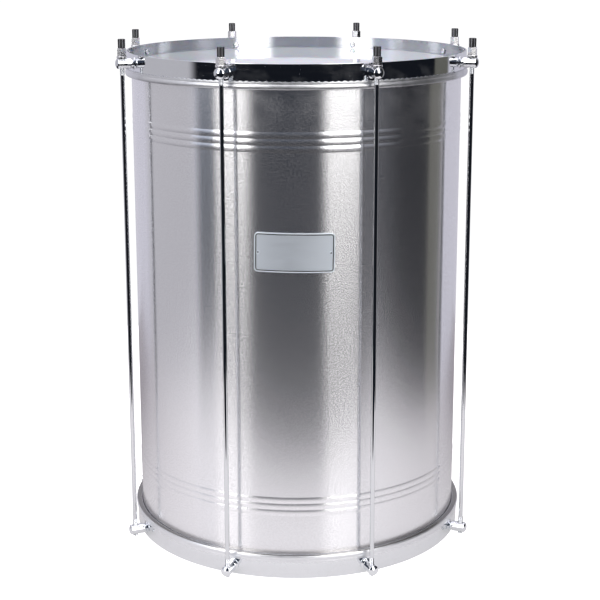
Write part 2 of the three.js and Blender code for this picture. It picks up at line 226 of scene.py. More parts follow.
def rounded(corners, closed=True, steps=4):
    """An outline of (radius, height) points from corners of (radius, height, rounding)."""
    outline = []
    for i, (*place, rounding) in enumerate(corners):
        at_end = not closed and i in (0, len(corners) - 1)
        if rounding == 0 or at_end:
            outline.append(tuple(place))
            continue
        here = Vector(place)
        back = (Vector(corners[i - 1][:2]) - here).normalized()
        ahead = (Vector(corners[(i + 1) % len(corners)][:2]) - here).normalized()
        half = back.angle(ahead) / 2
        centre = here + (back + ahead).normalized() * rounding / math.sin(half)
        first = here + back * rounding / math.tan(half) - centre
        last = here + ahead * rounding / math.tan(half) - centre
        sweep = first.angle_signed(last)
        for k in range(steps + 1):
            point = centre + Matrix.Rotation(-sweep * k / steps, 2) @ first
            outline.append((point.x, point.y))
    return outline


def skinned(rows, closed=False):
    """A form over rows of points, from each row to the next; a row of one point is the tip of a fan.

    A closed form also runs from its last row back to its first."""
    count = max(map(len, rows))
    starts = np.cumsum([0, *map(len, rows)]).tolist()
    path = [*range(len(rows)), 0] if closed else range(len(rows))
    faces = []
    for here, ahead in zip(path, path[1:]):
        low, high = starts[here], starts[ahead]
        for i in range(count):
            j = (i + 1) % count
            if len(rows[here]) == 1:
                faces.append((low, high + j, high + i))
            elif len(rows[ahead]) == 1:
                faces.append((low + i, low + j, high))
            else:
                faces.append((low + i, low + j, high + j, high + i))
    return np.concatenate(rows), faces


def turned(outline, angles, shape=None):
    """An outline of (radius, height) points turned about Z.

    It closes on itself, or on the axis where its ends lie there. shape(angles, radius, height) gives
    a row's radii and heights where it isn't round."""
    area = 0
    for (r0, z0), (r1, z1) in zip(outline, outline[1:] + outline[:1]):
        area += r0 * z1 - r1 * z0
    if area < 0:
        outline = outline[::-1]
    rows = []
    for radius, height in outline:
        if radius == 0:
            rows.append([(0, 0, height)])
            continue
        radii, heights = shape(angles, radius, height) if shape else (radius, height)
        around = (radii * np.cos(angles), radii * np.sin(angles), heights)
        rows.append(np.stack(np.broadcast_arrays(*around), 1))
    return skinned(rows, closed=outline[0][0] != 0)


def placed(form, matrix):
    """A form moved by a matrix."""
    points, faces = form
    rotation = np.array(matrix.to_3x3())
    return points @ rotation.T + np.array(matrix.translation), faces


def mesh_of(name, form):
    """A form as a Blender mesh."""
    points, faces = form
    mesh = bpy.data.meshes.new(name)
    mesh.from_pydata(points.tolist(), [], faces)
    mesh.validate()
    return mesh


def cut(form, *cutters):
    """A form with others cut out of it."""
    body = bpy.data.objects.new("cut_body", mesh_of("cut_body", form))
    tools = [bpy.data.objects.new("cut_tool", mesh_of("cut_tool", c)) for c in cutters]
    for made in [body, *tools]:
        bpy.context.scene.collection.objects.link(made)
    for tool in tools:
        modifier = body.modifiers.new("cut", "BOOLEAN")
        modifier.operation = "DIFFERENCE"
        modifier.solver = "EXACT"
        modifier.object = tool
    bpy.context.view_layer.update()
    graph = bpy.context.evaluated_depsgraph_get()
    mesh = bpy.data.meshes.new_from_object(body.evaluated_get(graph))
    points = np.array([v.co for v in mesh.vertices], float)
    faces = [tuple(p.vertices) for p in mesh.polygons]
    for made in [body, *tools]:
        bpy.data.objects.remove(made)
    return points, faces


def add_piece(name, form, material, body, replaced=(), crease=math.radians(32)):
    """A form as a piece that rides on a body of the frame, in place of some of its nodes."""
    mesh = mesh_of(name, form)
    mesh.polygons.foreach_set("use_smooth", [True] * len(mesh.polygons))
    mesh.set_sharp_from_angle(angle=crease)
    mesh.materials.append(material)
    piece = bpy.data.objects.new(name, mesh)
    bpy.context.scene.collection.objects.link(piece)
    shading = piece.modifiers.new("flat_faces", "WEIGHTED_NORMAL")
    shading.keep_sharp = True
    shading.weight = 90
    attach(piece, body)
    if replaced:
        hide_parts(*replaced)
    return piece


def finish_faces(piece, material, chosen):
    """Gives the faces of a piece for which chosen(face) holds a material of their own."""
    piece.data.materials.append(material)
    for face in piece.data.polygons:
        if chosen(face):
            face.material_index = len(piece.data.materials) - 1


def drum_height(scene):
    """The height over both hoops."""
    shell = scene.surdo_shell
    return 2 * shell.foot + shell.height


def upside_down(outline, height):
    """An outline of a lower piece as its upper twin."""
    return [(radius, height - level) for radius, level in outline]


def stations():
    """Each tension station's number and the turn that takes a piece made along +X there."""
    for number in range(1, STATIONS + 1):
        yield number, Matrix.Rotation((number - 1 / 2) * FULL_TURN / STATIONS, 4, "Z")


def laid_out(radius, level, spin=0):
    """Lays a piece made along +Z out along +X, its foot at a radius, spun about its own axis."""
    lay = Matrix.Rotation(QUARTER_TURN, 4, "Y") @ Matrix.Rotation(spin, 4, "Z")
    return Matrix.Translation((radius, 0, level)) @ lay


# Materials


def add_node(tree, kind, values=(), links=(), **settings):
    """Adds a node with its settings, its input values and its links.

    A link comes from a node's first output, or from the one that (node, output) names."""
    made = tree.nodes.new(kind)
    for name, value in settings.items():
        setattr(made, name, value)
    for socket, value in dict(values).items():
        made.inputs[socket].default_value = value
    for socket, source in dict(links).items():
        node, output = source if isinstance(source, tuple) else (source, 0)
        tree.links.new(node.outputs[output], made.inputs[socket])
    return made


def start_material(name, values):
    """A material with a principled shader whose plain values are set, and its tree.

    Where it is anisotropic, its grain goes round the drum and spreads each light up and down."""
    material = bpy.data.materials.new(name)
    material.use_nodes = True
    tree = material.node_tree
    tree.nodes.clear()
    shader = add_node(tree, "ShaderNodeBsdfPrincipled", values)
    add_node(tree, "ShaderNodeOutputMaterial", links={"Surface": shader})
    if "Anisotropic Rotation" in values:
        tangent = add_node(tree, "ShaderNodeTangent", direction_type="RADIAL", axis="Z")
        tree.links.new(tangent.outputs[0], shader.inputs["Tangent"])
    return material, tree, shader


def finish_surface(tree, shader, roughness, height, depth):
    """Links a roughness and a height pattern of a given depth in metres to a shader."""
    relief = add_node(tree, "ShaderNodeBump", {"Distance": depth}, {"Height": height})
    tree.links.new(roughness.outputs[0], shader.inputs["Roughness"])
    tree.links.new(relief.outputs[0], shader.inputs["Normal"])


def opaque(colour):
    """A colour with an alpha of one, as sockets take it."""
    return (*colour, 1)


def around_axis(tree, radius):
    """Position on the drum as (way round, 0, height) in metres, for grain that goes round it."""
    place = add_node(tree, "ShaderNodeTexCoord")
    parts = add_node(tree, "ShaderNodeSeparateXYZ", links={0: (place, "Object")})
    angle = add_node(tree, "ShaderNodeMath", links={0: (parts, "Y"), 1: (parts, "X")}, operation="ARCTAN2")
    way = add_node(tree, "ShaderNodeMath", {1: radius}, {0: angle}, operation="MULTIPLY")
    return add_node(tree, "ShaderNodeCombineXYZ", links={"X": way, "Z": (parts, "Z")})


def grain(tree, source, size, detail=2):
    """Noise whose grains have a size along each axis, in metres."""
    scaled = add_node(tree, "ShaderNodeMapping", {"Scale": size}, {0: source}, vector_type="TEXTURE")
    noise = {"Scale": 1, "Detail": detail, "Roughness": 0.5}
    return add_node(tree, "ShaderNodeTexNoise", noise, {"Vector": scaled})


def between(low, high, start=0.3, end=0.7):
    """Map Range values that take a pattern's range from start to end to one of its own."""
    return {"From Min": start, "From Max": end, "To Min": low, "To Max": high}


def patterned(name, colour, size, roughness, depth, values=(), radius=None):
    """A material with one fine pattern, which moves its roughness between two values and gives its relief.

    The pattern lies along the piece's axes, or goes round the drum where its radius is given."""
    material, tree, shader = start_material(name, {"Base Color": opaque(colour), **dict(values)})
    place = around_axis(tree, radius) if radius else (add_node(tree, "ShaderNodeTexCoord"), "Object")
    pattern = grain(tree, place, size)
    polish = add_node(tree, "ShaderNodeMapRange", between(*roughness), {"Value": pattern})
    finish_surface(tree, shader, polish, pattern, depth)
    return material


def brushed_aluminium(colour, radius, top):
    """Aluminium sheet with a fine brushed grain that goes round the shell, under a thin skin of oxide.

    The grooves spread a light up and down but not sideways, so each lamp is a tall band and each rod a
    thin upright line. The oxide adds a weak haze round each lamp. Hands have left soft clouds at the top."""
    material, tree, shader = start_material(
        "brushed_aluminium", {"Anisotropic Rotation": 0.25, "Coat IOR": 1.77, "Coat Roughness": 0.32}
    )
    sheet = around_axis(tree, radius)
    # Real grooves are about 0.1 mm apart; they are drawn at 1.5 mm so that the render shows them.
    grooves = grain(tree, sheet, mm(30, 30, 1.5), 3)
    # The pits between them are a tenth of a millimetre and are drawn larger for the same reason.
    pits = grain(tree, sheet, mm(2.2, 2.2, 1.8), 1)
    # So are its crystals, which each throw back a little more or less. They fade out to the left of the
    # front, and towards the foot, where the sheet is smoother.
    crystals = grain(tree, sheet, mm(1.7, 1.7, 1.4), 1)
    smudges = grain(tree, sheet, mm(24, 24, 18), 3)
    parts = add_node(tree, "ShaderNodeSeparateXYZ", links={0: sheet})
    to_right, upwards = between(0, 1, *mm(-460, -410)), between(0.05, 0.55, *mm(110, 280))
    coarse = add_node(tree, "ShaderNodeMapRange", to_right, {"Value": (parts, "X")})
    fading = add_node(tree, "ShaderNodeMapRange", upwards, {"Value": (parts, "Z")})
    contrast = add_node(tree, "ShaderNodeMath", links={0: coarse, 1: fading}, operation="MULTIPLY")
    sparkle = add_node(tree, "ShaderNodeMath", {1: -0.5}, {0: crystals}, operation="ADD")
    shine = add_node(
        tree, "ShaderNodeMath", {2: 0.97}, {0: sparkle, 1: contrast}, operation="MULTIPLY_ADD"
    )
    shade = add_node(tree, "ShaderNodeVectorMath", {0: colour}, {"Scale": shine}, operation="SCALE")
    near_top = between(0, 1, top - mm(100), top - mm(20))
    handled = add_node(tree, "ShaderNodeMapRange", near_top, {"Value": (parts, "Z")})
    smudged = add_node(tree, "ShaderNodeMapRange", between(0, 1, 0.35, 0.8), {"Value": smudges})
    dulled = add_node(tree, "ShaderNodeMath", links={0: smudged, 1: handled}, operation="MULTIPLY")
    clean = add_node(tree, "ShaderNodeMapRange", between(0.172, 0.202, 0.38, 0.62), {"Value": pits})
    roughness = add_node(
        tree, "ShaderNodeMath", {1: 0.07}, {0: dulled, 2: clean}, operation="MULTIPLY_ADD"
    )
    one_way = add_node(tree, "ShaderNodeMapRange", between(1, 0.8, 0, 1), {"Value": dulled})
    pitted = add_node(tree, "ShaderNodeMapRange", between(0.915, 1, 0.4, 0.6), {"Value": pits})
    bare = add_node(tree, "ShaderNodeMath", {1: -0.08}, {0: dulled, 2: pitted}, operation="MULTIPLY_ADD")
    oxide = add_node(tree, "ShaderNodeMapRange", between(1, 0.4, 0.4, 0.6), {"Value": pits})
    relief = add_node(tree, "ShaderNodeMath", {1: 0.1}, {0: grooves, 2: pits}, operation="MULTIPLY_ADD")
    tree.links.new(shade.outputs[0], shader.inputs["Base Color"])
    tree.links.new(one_way.outputs[0], shader.inputs["Anisotropic"])
    tree.links.new(bare.outputs[0], shader.inputs["Metallic"])
    tree.links.new(oxide.outputs[0], shader.inputs["Coat Weight"])
    finish_surface(tree, shader, roughness, relief, mm(0.02))
    return material


def rolled_aluminium(colour, radius):
    """Soft aluminium strip rolled to a channel: a satin shine with faint draw lines and small dents."""
    material, tree, shader = start_material("rolled_aluminium", {"Base Color": opaque(colour), **METAL})
    strip = around_axis(tree, radius)
    lines = grain(tree, strip, mm(60, 60, 0.9))
    dents = grain(tree, strip, mm(9, 9, 6), 1)
    roughness = add_node(tree, "ShaderNodeMapRange", between(0.34, 0.46), {"Value": dents})
    relief = add_node(tree, "ShaderNodeMath", links={0: lines, 1: dents}, operation="ADD")
    finish_surface(tree, shader, roughness, relief, mm(0.008))
    return material


def ledge_shade_aluminium(colour, radius):
    """The flesh hoop's level top, painted dark as the shade in the groove beside the shell: dull, with faint
    roller lines.
    """
    return patterned("ledge_shade_aluminium", colour, mm(60, 60, 0.9), (0.36, 0.44), mm(0.002), METAL, radius)


def linished_plate(colour, radius):
    """Plate over linished steel, inside a band: belt lines round it that spread each light up and down."""
    belt = {**METAL, "Anisotropic": 1, "Anisotropic Rotation": 0.25}
    return patterned("linished_plate", colour, mm(25, 25, 0.8), (0.14, 0.2), mm(0.006), belt, radius)


def chrome_plate(name, colour, haze_size, low=0.03, high=0.09):
    """Chrome plate on polished steel: a mirror with soft clouds of finger haze and a few specks of dust."""
    material, tree, shader = start_material(name, {"Base Color": opaque(colour)})
    place = (add_node(tree, "ShaderNodeTexCoord"), "Object")
    haze = grain(tree, place, haze_size, 1)
    dust = grain(tree, place, mm(1.1, 1.1, 1.1), 1)
    clouds = grain(tree, place, mm(22, 22, 16), 3)
    hazy = add_node(tree, "ShaderNodeMapRange", between(low, high), {"Value": haze})
    specks = add_node(tree, "ShaderNodeMapRange", between(0, 0.4, 0.74, 0.84), {"Value": dust})
    roughness = add_node(tree, "ShaderNodeMath", links={0: specks, 1: hazy}, operation="ADD")
    clear = add_node(tree, "ShaderNodeMapRange", between(1, 0.955, 0.5, 0.74), {"Value": clouds})
    tree.links.new(clear.outputs[0], shader.inputs["Metallic"])
    finish_surface(tree, shader, roughness, haze, mm(0.001))
    return material


def zinc_wire(colour):
    """Drawn steel wire with bright zinc: nearly a mirror, with long drawing marks along it."""
    return patterned("bright_zinc_wire", colour, mm(0.8, 0.8, 30), (0.04, 0.1), mm(0.003), METAL)


def nickel_plate(colour):
    """Satin nickel on turned and hexagon steel: a silky shine with fine tool marks."""
    return patterned("satin_nickel", colour, mm(3, 3, 1.2), (0.2, 0.3), mm(0.003), METAL)


def polyester_film(colour):
    """Milky polyester film: a smooth gloss over a soft white body, rippled a little by its tension."""
    material, tree, shader = start_material(
        "milky_polyester_film",
        {"Base Color": opaque(colour), "IOR": 1.6, "Subsurface Weight": 0.3, "Subsurface Scale": mm(2)},
    )
    place = (add_node(tree, "ShaderNodeTexCoord"), "Object")
    wipes = grain(tree, place, mm(30, 12, 12), 4)
    ripple = grain(tree, place, mm(60, 60, 60), 1)
    roughness = add_node(tree, "ShaderNodeMapRange", between(0.02, 0.06), {"Value": wipes})
    finish_surface(tree, shader, roughness, ripple, mm(0.01))
    return material


def moulded_pvc(name, colour, roughness):
    """Black PVC from a mould: a dull shine with a faint flow texture. A pale copy of it paints highlights on
    the caps' crests.
    """
    return patterned(name, colour, mm(0.8, 0.8, 1.6), roughness, mm(0.006), {"IOR": 1.54})


def satin_aluminium(colour):
    """Pressed aluminium plate with a matt anodised face: even and pale, with a fine level grain."""
    return patterned("satin_aluminium", colour, mm(14, 14, 0.6), (0.46, 0.56), mm(0.01), METAL)


def scoured_aluminium(colour):
    """Pressed aluminium scoured bright, with deep fine scratches that scatter the light every way."""
    scattering = {"Metallic": 0.3}
    return patterned("scoured_aluminium", colour, mm(1.2, 1.2, 1.2), (0.35, 0.5), mm(0.01), scattering)


def stove_enamel_and_pin_shade(colour):
    """Dark stoving enamel wiped into the plate's pressed border: a dull gloss, a little uneven. The same
    dark finish paints the shade in the hollows of the plate's pins.
    """
    return patterned("stove_enamel_and_pin_shade", colour, mm(2, 2, 2), (0.35, 0.6), mm(0.02))


def opal_acrylic(colour, glow, burn):
    """The shooting table: opal acrylic lit from below, plain and pale.

    It is lit from in front, so it dims towards the back. The camera sees it burnt out to plain white,
    while the metal mirrors it less brightly."""
    matt = {"Base Color": opaque(colour), "Roughness": 0.9, "Specular IOR Level": 0}
    material, tree, shader = start_material("opal_acrylic", {**matt, "Emission Color": (1, 1, 1, 1)})
    place = add_node(tree, "ShaderNodeTexCoord")
    parts = add_node(tree, "ShaderNodeSeparateXYZ", links={0: (place, "Object")})
    dark_share, dims_from, dims_to = 0.1, -0.3, 0.45
    dimming = between(glow, glow * dark_share, dims_from, dims_to)
    below = add_node(tree, "ShaderNodeMapRange", dimming, {"Value": (parts, "Y")})
    ray = add_node(tree, "ShaderNodeLightPath")
    light = add_node(
        tree, "ShaderNodeMapRange", {"To Max": burn}, {"Value": (ray, "Is Camera Ray"), "To Min": below}
    )
    tree.links.new(light.outputs[0], shader.inputs["Emission Strength"])
    return material


# Outlines and forms of the pieces


def swept(steps, point):
    """The points at even shares of a path, from 0 to 1."""
    return [point(k / steps) for k in range(steps + 1)]


def bead_rows(radius, middle, pitch, rise, steps):
    """Points of three rolled beads, one beside the next, from below up."""
    count = 3
    foot = middle - count * pitch / 2
    flat = mm(0.25)
    rows = [(radius, foot - flat * 3), (radius, foot - flat)]
    for i in range(count * steps + 1):
        share = (i % steps) / steps
        swell = math.sin(HALF_TURN * share)
        rows.append((radius + rise * swell, foot + i * pitch / steps))
    end = foot + count * pitch
    return rows + [(radius, end + flat), (radius, end + flat * 3)]


def shell_form(shell):
    """The shell: an open tube with three beads near each end, rolled out from the inside."""
    foot, top = shell.foot, shell.foot + shell.height
    bore = shell.radius - shell.wall
    low, high = foot + shell.bead_inset, top - shell.bead_inset
    bead = (shell.bead_pitch, shell.bead_rise)
    edge = shell.edge_round
    outside = [
        (shell.radius - edge, foot),
        (shell.radius, foot + edge),
        *bead_rows(shell.radius, low, *bead, 14),
        *bead_rows(shell.radius, high, *bead, 14),
        (shell.radius, top - edge),
        (shell.radius - edge, top),
    ]
    inside = [
        (bore, top),
        *bead_rows(bore, high, *bead, 8)[::-1],
        *bead_rows(bore, low, *bead, 8)[::-1],
        (bore, foot),
    ]
    return turned(outside + inside, all_round(288))


def film_outline(heads):
    """The lower film: a flat disc, a bend round the bearing edge and a skirt up into the flesh hoop."""
    outer, thin, bend = heads.skirt_radius, heads.thickness, heads.shoulder
    inner = outer - thin
    corners = [
        (0, heads.level, 0),
        (outer, heads.level, bend),
        (outer, heads.skirt_end, 0),
        (inner, heads.skirt_end, 0),
        (inner, heads.level + thin, bend - thin),
        (0, heads.level + thin, 0),
    ]
    return rounded(corners, closed=False, steps=6)


def band_outline(hoops):
    """The lower band, its free edge down."""
    outer, inner = hoops.radius, hoops.radius - hoops.thickness
    edge = hoops.edge_round
    corners = [
        (inner, 0, edge),
        (outer, 0, edge),
        (outer, hoops.height, edge / 2),
        (inner, hoops.height, edge / 2),
    ]
    return rounded(corners)


def flesh_outline(hoops):
    """The lower flesh hoop: a channel open below, its lip turned in over the film."""
    foot = hoops.height + SEAT
    top = foot + hoops.flesh_height
    wall = hoops.flesh_wall
    bore, outer, lip = hoops.flesh_bore, hoops.flesh_radius, hoops.flesh_lip
    step = foot + hoops.flesh_height * 0.27  # the strip is set in a little below this height
    low_roll = roll_points(outer - mm(0.8), foot, step, mm(0.1), 5)
    high_roll = roll_points(outer, step + mm(0.2), top, mm(0.8), 12)
    channel = outer - wall - mm(1.2)  # clear of the step on the outside
    corners = [
        (bore, top, mm(0.4)),
        (bore, foot, mm(0.2)),
        (bore + wall, foot, mm(0.2)),
        (bore + wall, top - wall, mm(0.2)),
        (channel, top - wall, mm(0.3)),
        (channel, foot + wall, mm(0.3)),
        (lip, foot + wall, mm(0.2)),
        (lip, foot, mm(0.2)),
        (hoops.radius + mm(0.15), foot, 0),
    ]
    return rounded(corners) + low_roll + high_roll


def roll_points(outer, low, high, bulge, steps):
    """A rolled strip's outer side between two levels: flat in the middle, round towards both."""
    return swept(steps, lambda share: (outer - bulge * (2 * share - 1) ** 2, low + (high - low) * share))


def flesh_form(hoops, height=None):
    """A flesh hoop, the upper one where the drum's height is given, with crimps beside its band."""
    outline = flesh_outline(hoops)
    middle = hoops.height + SEAT + hoops.flesh_height / 2
    if height:
        outline = upside_down(outline, height)
        middle = height - middle
    towards_band = 1 if height else -1
    steps_per_crimp = 6
    edge_from, edge_share = hoops.radius + mm(0.25), 0.4

    def crimped(angles, radius, level):
        share = (level - middle) * towards_band / hoops.flesh_height
        if radius <= edge_from or share < edge_share:
            return radius, level
        lobe = (0.5 + 0.5 * np.cos(angles * hoops.crimps)) ** 0.8
        uneven = 0.88 + 0.12 * np.cos(angles * 37 + 2 * np.cos(angles * 11))
        return radius, level + towards_band * hoops.crimp_rise * lobe * uneven

    return turned(outline, all_round(hoops.crimps * steps_per_crimp), crimped)


def seamed_band_form(hoops):
    """The lower band, with the butt joint where its ends meet, right of the front."""
    seam, reach = FRONT + math.radians(9.3), math.radians(0.5)
    slope, width, deepest = math.radians(0.14), math.radians(0.1), mm(0.5)
    fine = seam + np.linspace(-reach, reach, 13)
    coarse = [a for a in all_round(300) - HALF_TURN if abs(a - seam) > reach]
    angles = np.sort(np.concatenate([coarse, fine]))

    def notched(turn, radius, level):
        if radius < hoops.radius - mm(0.6):
            return radius, level
        lean = slope * (level / hoops.height - 0.5)
        groove = np.exp(-(((turn - seam - lean) / width) ** 2))
        depth = deepest * max(0, 1 - level / hoops.height)
        return radius - depth * groove, level

    return turned(finely(band_outline(hoops), mm(2)), angles, notched)


def finely(outline, step):
    """An outline with extra points, so that none are further apart than a step."""
    fine = []
    for here, ahead in zip(outline, outline[1:] + outline[:1]):
        pieces = max(1, math.ceil(math.dist(here, ahead) / step))
        for k in range(pieces):
            share = k / pieces
            fine.append(tuple(a + (b - a) * share for a, b in zip(here, ahead)))
    return fine


def rod_form(s):
    """A rod: plain wire with a rolled thread at each end."""
    steps_per_turn, rows_per_pitch = 18, 6
    step = s.thread_pitch / rows_per_pitch
    end_chamfer = s.thread_depth

    def threaded_rows(low, high):
        count = round((high - low) / step)
        return swept(count, lambda share: (s.thread_radius, low + (high - low) * share))

    outline = [
        (0, s.tip),
        *threaded_rows(s.tip, s.low_thread_end),
        (s.rod_radius, s.low_thread_end + mm(0.6)),
        (s.rod_radius, s.high_thread_start - mm(0.6)),
        *threaded_rows(s.high_thread_start, s.rod_end),
        (0, s.rod_end),
    ]

    def cut_thread(angles, radius, level):
        if radius < s.thread_radius:
            return radius, level
        phase = (level / s.thread_pitch - angles / FULL_TURN) % 1
        groove = s.thread_depth * np.abs(2 * phase - 1)
        from_end = min(level - s.tip, s.rod_end - level)
        chamfer = max(0, end_chamfer - from_end)
        return radius - np.maximum(groove, chamfer), level

    form = turned(outline, all_round(steps_per_turn), cut_thread)
    return placed(form, Matrix.Translation((s.circle, 0, 0)))


def post_form(s, hoops, level, open_side):
    """A turned post: spreading foot, neck, barrel with a rounded end and a countersunk hole for the rod.

    open_side is 1 where the countersink faces up and -1 where it faces down."""
    sunk = mm(0.34)  # so that the edge of its flat foot meets the round band
    seat = hoops.radius - sunk
    to_rod = s.circle - seat
    neck_end = s.foot_thickness + s.neck_flare
    foot = [(0, 0), (s.foot_radius - mm(0.2), 0), (s.foot_radius, mm(0.2))]
    dome = mm(9)
    swing = math.asin(s.barrel_radius / dome)

    def flared(share):
        spreading = (s.foot_radius - s.neck_radius) * (1 - share) ** 2.4
        return s.neck_radius + spreading, s.foot_thickness + s.neck_flare * share

    def domed(share):
        lean = swing * (1 - share) * 0.88
        return dome * math.sin(lean), to_rod + s.post_tip - dome * (1 - math.cos(lean))

    flare, end = swept(8, flared), swept(8, domed)
    barrel = [
        (s.neck_radius, neck_end + mm(0.1), mm(0.1)),
        (s.barrel_radius, neck_end + mm(0.5), mm(0.4)),
        (s.barrel_radius, to_rod + s.post_tip - dome * (1 - math.cos(swing)), mm(0.9)),
        (*end[0], 0),
    ]
    outline = foot + flare + rounded(barrel, closed=False, steps=6)[:-1] + end
    post = placed(turned(outline, all_round(48)), laid_out(seat, level))
    sink = mm(1.2)
    mouth = s.barrel_radius - sink
    bore = [
        (0, -s.barrel_radius - sink),
        (s.hole_radius, -s.barrel_radius - sink),
        (s.hole_radius, mouth),
        (s.hole_radius + 2 * sink, mouth + 2 * sink),
        (0, mouth + 2 * sink),
    ]
    drill = turned([(r, z * open_side) for r, z in bore], all_round(32))
    return cut(post, placed(drill, Matrix.Translation((s.circle, 0, level))))


def screw_form(s, hoops, level, spin):
    """A hoop screw: a slotted oval head inside the band and a shank in the post."""
    seat = hoops.radius - hoops.thickness - mm(0.9)
    reach, height = s.screw_head_radius, s.screw_head_height
    rim = mm(0.5)

    def domed(share):
        swing = QUARTER_TURN * share
        return reach * math.sin(swing), -rim - (height - rim) * math.cos(swing)

    shank_end = hoops.radius + s.screw_grip - seat
    shank = [(s.screw_radius, 0), (s.screw_radius, shank_end), (0, shank_end)]
    head = turned([(0, -height), *swept(8, domed)[1:], (reach, 0), *shank], all_round(32))
    half, deep, wide = mm(0.45), mm(0.9), reach * 1.5
    across = ((-wide, -half), (wide, -half), (wide, half), (-wide, half))
    slot = [(x, y, z) for z in (-height - mm(1), -height + deep) for x, y in across]
    sides = [(0, 3, 2, 1), (4, 5, 6, 7), (0, 1, 5, 4), (1, 2, 6, 5), (2, 3, 7, 6), (3, 0, 4, 7)]
    return placed(cut(head, (np.array(slot), sides)), laid_out(seat, level, spin))


def nut_form(s):
    """A long hexagon nut with its corners turned down at the top, and its washer."""
    flat = s.nut_flats / 2
    foot = s.washer_foot
    shelf = foot + s.washer_thickness
    top = shelf + s.nut_height
    corner = flat / math.cos(HALF_TURN / 6)
    chamfer = mm(1.1)
    bore = s.hole_radius

    def crowned(share):
        return corner - chamfer * share**1.6 * 1.1, top - chamfer * 0.6 * (1 - share)

    outline = [
        (bore, foot),
        (s.washer_radius - mm(0.3), foot),
        (s.washer_radius, foot + mm(0.3)),
        (s.washer_radius, shelf - mm(0.3)),
        (s.washer_radius - mm(0.3), shelf),
        (corner - mm(0.1), shelf),
        (corner - mm(0.1), shelf + mm(0.25)),
        (corner, shelf + mm(0.35)),
        *swept(5, crowned),
        (bore + mm(0.5), top),
        (bore, top - mm(0.5)),
    ]

    def hexagonal(angles, radius, level):
        if level <= shelf or radius <= bore + mm(0.5):
            return radius, level
        sixth = FULL_TURN / 6
        off_flat = (angles + sixth / 2) % sixth - sixth / 2
        return np.minimum(flat / np.cos(off_flat), radius), level

    return turned(outline, all_round(96), hexagonal)


def cap_form(s):
    """A fluted cap, a little wider at its rounded top, with a blind bore for the rod's end."""
    low, high = s.cap_foot, s.cap_foot + s.cap_height
    ceiling = high - mm(2.4)
    bore = s.thread_radius + mm(0.02)
    corners = [
        (0, ceiling, 0),
        (bore, ceiling, 0),
        (bore, low, 0),
        (s.cap_radius, low, mm(0.2)),
        (s.cap_radius, high, mm(0.9)),
        (0, high, 0),
    ]
    outline = finely(rounded(corners, closed=False, steps=6), mm(2))[:-1]

    def fluted(angles, radius, level):
        if radius <= bore:
            return radius, level
        flare = s.cap_flare * (level - low) / s.cap_height
        rib = 0.5 + 0.5 * np.cos(angles * s.flutes)
        edge = (radius - bore) / (s.cap_radius - bore)
        near_top = max(0, (level - high + mm(0.9)) / mm(0.9))
        depth = s.flute_depth * (1 - rib**0.6) * (1 - 0.7 * near_top)
        return radius + (flare - depth) * min(1, edge), level

    form = turned(outline, all_round(s.flutes * FLUTE_STEPS), fluted)
    return placed(form, Matrix.Translation((s.circle, 0, 0)))


def plate_rows(plate):
    """The name plate's outlines from its back edge over the rim to the middle: (inset, height) pairs."""
    full, edge = plate.thickness, mm(0.35)
    groove, field = full - mm(0.45), full - plate.recess
    rim = plate.rim
    return [
        (0, 0),
        (0, full - edge),
        (edge * 0.3, full - edge * 0.3),
        (edge, full),
        (rim - mm(0.5), full),
        (rim - mm(0.2), full - mm(0.1)),
        (rim, groove),
        (rim + mm(0.9), groove),
        (rim + mm(1), field),
    ]


def plate_form(plate, shell):
    """The name plate, bent to the shell, and the faces of its raised rim and of its border line."""
    back = shell.radius + SEAT

    def contour(inset):
        wide, tall = plate.width / 2 - inset, plate.height / 2 - inset
        corner, steps = max(plate.corner - inset, mm(0.3)), 8
        ends = ((wide, tall), (-wide, tall), (-wide, -tall), (wide, -tall))
        arcs = np.array(rounded([(*end, corner) for end in ends], steps=steps)).reshape(4, steps + 1, 2)
        runs = []
        for k, pieces in enumerate((28, 10, 28, 10)):
            side = np.linspace(arcs[k][-1], arcs[(k + 1) % 4][0], pieces + 1)
            runs += [arcs[k], side[1:-1]]
        return np.concatenate(runs)

    def bent(flat, height):
        across = flat[:, 0] * math.cos(plate.tilt) - flat[:, 1] * math.sin(plate.tilt)
        up = flat[:, 0] * math.sin(plate.tilt) + flat[:, 1] * math.cos(plate.tilt)
        angle = FRONT + plate.turn + np.arcsin(across / back)
        radius = back + height
        return np.stack([radius * np.cos(angle), radius * np.sin(angle), plate.level + up], 1)

    edges = [(contour(inset), height) for inset, height in plate_rows(plate)]
    inner, field = edges[-1]
    middle = np.zeros((1, 2))
    shares = [k / 10 for k in range(1, 10)]
    behind = [(inner * share, 0) for share in shares] + [(contour(0) * 0.995, 0)]
    before = edges + [(inner * (1 - share), field) for share in shares]
    rows = [(middle, 0), *behind, *before, (middle, field)]
    form = skinned([bent(flat, height) for flat, height in rows])
    rim, border = [
        range((len(behind) + 1 + low) * len(inner), (len(behind) + 1 + high) * len(inner))
        for low, high in (RIM_ROWS, BORDER_ROWS)
    ]
    return form, rim, border


def pin_form(plate, shell, side):
    """A small hollow pin through the name plate: a rounded rim about a dimple; also the dimple's faces,
    which are painted dark as the shade in its hollow.
    """
    seat = shell.radius + plate.thickness - plate.recess + 2 * SEAT
    shank, grip = mm(0.8), mm(3)
    steps, dimple_rows = 24, 3

    def curled(share):
        swing = HALF_TURN * share
        return plate.pin_radius * (0.76 + 0.24 * math.cos(swing)), plate.pin_height * math.sin(swing)

    outline = [(0, -grip), (shank, -grip), (shank, 0), *swept(10, curled), (0, 0)]
    pin = turned(outline, all_round(steps))
    faces = len(pin[1])
    reach = side * (plate.width / 2 - plate.pin_inset)
    turn = FRONT + plate.turn + math.asin(reach * math.cos(plate.tilt) / seat)
    place = Matrix.Rotation(turn, 4, "Z") @ laid_out(seat, plate.level + reach * math.sin(plate.tilt))
    return placed(pin, place), range(faces - steps * dimple_rows, faces)


# Operators: one for each piece or group of like pieces


class SurdoPiece:
    """What the operators have in common."""

    bl_options = {"REGISTER", "UNDO"}


